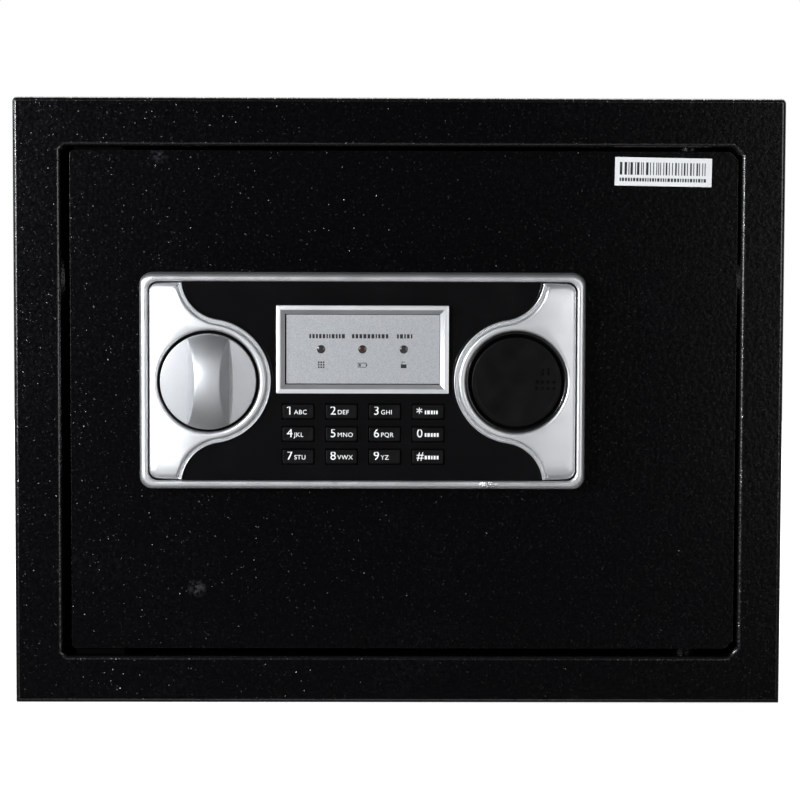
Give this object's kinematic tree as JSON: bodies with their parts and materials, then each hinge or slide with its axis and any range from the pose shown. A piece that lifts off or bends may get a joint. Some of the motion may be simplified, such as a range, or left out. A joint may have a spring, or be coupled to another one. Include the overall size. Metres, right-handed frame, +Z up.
{
  "type": "electronic safe",
  "caption": "Black steel cabinet safe with an inset door, a silver turning knob, a keypad with status lamps and a covered override lock.",
  "frame": {"origin": "middle of the cabinet's underside", "axes": "+X to the right seen from the front, +Y from the front to the back, +Z up"},
  "size_m": [0.38, 0.3228, 0.3],
  "materials": {
    "black_coat": "fine textured powder coat, half matt",
    "inner_coat": "fine textured powder coat",
    "mat_felt": "short needle felt",
    "steel": "ground",
    "zinc_steel": "zinc plated",
    "bolt_steel": "nickel plated, turned",
    "brass": "machined",
    "black_plastic": "moulded, fine grain",
    "rim_silver": "satin silver paint on moulded plastic",
    "shield_silver": "satin silver paint on moulded plastic",
    "knob_silver": "matt silver paint",
    "display_silver": "fine straight grain",
    "fascia_black": "polished",
    "cap_black": "half gloss",
    "key_black": "half gloss",
    "led_lens": "tinted lens",
    "board_green": "solder mask",
    "mat_rubber": "moulded silicone rubber",
    "coil_tape": "wrapped tape",
    "cell_sleeve": "plain printed sleeve",
    "wire_red": "smooth insulation",
    "label_white": "coated paper",
    "button_red": "polished"
  },
  "bodies": {
    "cabinet": {"cabinet_wrap": "black_coat", "base_plate": "black_coat", "back_panel": "black_coat", "front_frame": "black_coat", "floor_mat": "mat_felt", "hinge_pins": "steel", "hinge_washers": "zinc_steel"},
    "door": {"door_plate": "black_coat", "hinge_blocks": "black_coat", "mechanism_cover": "inner_coat", "cover_screws": "zinc_steel", "panel_base": "black_plastic", "panel_rim": "rim_silver", "fascia": "fascia_black", "left_shield": "shield_silver", "right_shield": "shield_silver", "window_bezel": "rim_silver", "display_plate": "display_silver", "indicator_leds": "led_lens", "circuit_board": "board_green", "keypad_mat": "mat_rubber", "cover_seat": "fascia_black", "key_cylinder": "brass", "cylinder_nut": "zinc_steel", "knob_bush": "brass", "panel_screws": "zinc_steel", "carriage_studs": "zinc_steel", "solenoid_frame": "zinc_steel", "solenoid_coil": "coil_tape", "plunger_spring": "steel", "battery_box": "black_plastic", "battery_contacts": "zinc_steel", "batteries": "cell_sleeve", "control_board": "board_green", "wire_harness": "wire_red", "blank_label": "label_white", "reset_switch": "black_plastic"},
    "knob_group": {"knob": "knob_silver", "knob_shaft": "steel", "crank_disc": "zinc_steel"},
    "bolt_work": {"bolt_carriage": "zinc_steel", "live_bolts": "bolt_steel"},
    "plunger": {"solenoid_plunger": "steel"},
    "key_group": {"key_plug": "brass", "override_cam": "zinc_steel"},
    "keyhole_cap": {"keyhole_cover": "cap_black"},
    "battery_lid": {"battery_cover": "black_plastic"},
    "reset": {"reset_button": "button_red"},
    "key_1_cap": {"key_1": "key_black"},
    "key_2_cap": {"key_2": "key_black"},
    "key_3_cap": {"key_3": "key_black"},
    "key_star_cap": {"key_star": "key_black"},
    "key_4_cap": {"key_4": "key_black"},
    "key_5_cap": {"key_5": "key_black"},
    "key_6_cap": {"key_6": "key_black"},
    "key_0_cap": {"key_0": "key_black"},
    "key_7_cap": {"key_7": "key_black"},
    "key_8_cap": {"key_8": "key_black"},
    "key_9_cap": {"key_9": "key_black"},
    "key_hash_cap": {"key_hash": "key_black"}
  },
  "joints": [
    {"name": "door_hinge", "type": "hinge", "parent": "cabinet", "child": "door", "pos_m": [0.1434, -0.139, 0], "axis": [0, 0, 1], "range_deg": [0, 105]},
    {"name": "knob_turn", "type": "hinge", "parent": "door", "child": "knob_group", "pos_m": [-0.09365, -0.15, 0.161], "axis": [0, -1, 0], "range_deg": [0, 90]},
    {"name": "bolt_slide", "type": "slide", "parent": "door", "child": "bolt_work", "axis": [-1, 0, 0], "range_m": [0, 0.01626]},
    {"name": "plunger_slide", "type": "slide", "parent": "door", "child": "plunger", "axis": [0, 0, 1], "range_m": [0, 0.006], "deforming": ["plunger_spring"]},
    {"name": "override_key_turn", "type": "hinge", "parent": "door", "child": "key_group", "pos_m": [0.05765, -0.15, 0.161], "axis": [0, 1, 0], "range_deg": [-90, 0]},
    {"name": "keyhole_cover_pull", "type": "slide", "parent": "door", "child": "keyhole_cap", "axis": [0, -1, 0], "range_m": [0, 0.015]},
    {"name": "battery_cover_pull", "type": "slide", "parent": "door", "child": "battery_lid", "axis": [0, 1, 0], "range_m": [0, 0.015]},
    {"name": "reset_press", "type": "slide", "parent": "door", "child": "reset", "axis": [0, -1, 0], "range_m": [0, 0.0015], "stiffness_N_per_m": 400},
    {"name": "key_1_press", "type": "slide", "parent": "door", "child": "key_1_cap", "axis": [0, 1, 0], "range_m": [0, 0.0008], "stiffness_N_per_m": 400},
    {"name": "key_2_press", "type": "slide", "parent": "door", "child": "key_2_cap", "axis": [0, 1, 0], "range_m": [0, 0.0008], "stiffness_N_per_m": 400},
    {"name": "key_3_press", "type": "slide", "parent": "door", "child": "key_3_cap", "axis": [0, 1, 0], "range_m": [0, 0.0008], "stiffness_N_per_m": 400},
    {"name": "key_star_press", "type": "slide", "parent": "door", "child": "key_star_cap", "axis": [0, 1, 0], "range_m": [0, 0.0008], "stiffness_N_per_m": 400},
    {"name": "key_4_press", "type": "slide", "parent": "door", "child": "key_4_cap", "axis": [0, 1, 0], "range_m": [0, 0.0008], "stiffness_N_per_m": 400},
    {"name": "key_5_press", "type": "slide", "parent": "door", "child": "key_5_cap", "axis": [0, 1, 0], "range_m": [0, 0.0008], "stiffness_N_per_m": 400},
    {"name": "key_6_press", "type": "slide", "parent": "door", "child": "key_6_cap", "axis": [0, 1, 0], "range_m": [0, 0.0008], "stiffness_N_per_m": 400},
    {"name": "key_0_press", "type": "slide", "parent": "door", "child": "key_0_cap", "axis": [0, 1, 0], "range_m": [0, 0.0008], "stiffness_N_per_m": 400},
    {"name": "key_7_press", "type": "slide", "parent": "door", "child": "key_7_cap", "axis": [0, 1, 0], "range_m": [0, 0.0008], "stiffness_N_per_m": 400},
    {"name": "key_8_press", "type": "slide", "parent": "door", "child": "key_8_cap", "axis": [0, 1, 0], "range_m": [0, 0.0008], "stiffness_N_per_m": 400},
    {"name": "key_9_press", "type": "slide", "parent": "door", "child": "key_9_cap", "axis": [0, 1, 0], "range_m": [0, 0.0008], "stiffness_N_per_m": 400},
    {"name": "key_hash_press", "type": "slide", "parent": "door", "child": "key_hash_cap", "axis": [0, 1, 0], "range_m": [0, 0.0008], "stiffness_N_per_m": 400}
  ],
  "couplings": [
    {"joint": "knob_turn", "follows": "bolt_slide", "rad_per_m": 96.58}
  ]
}
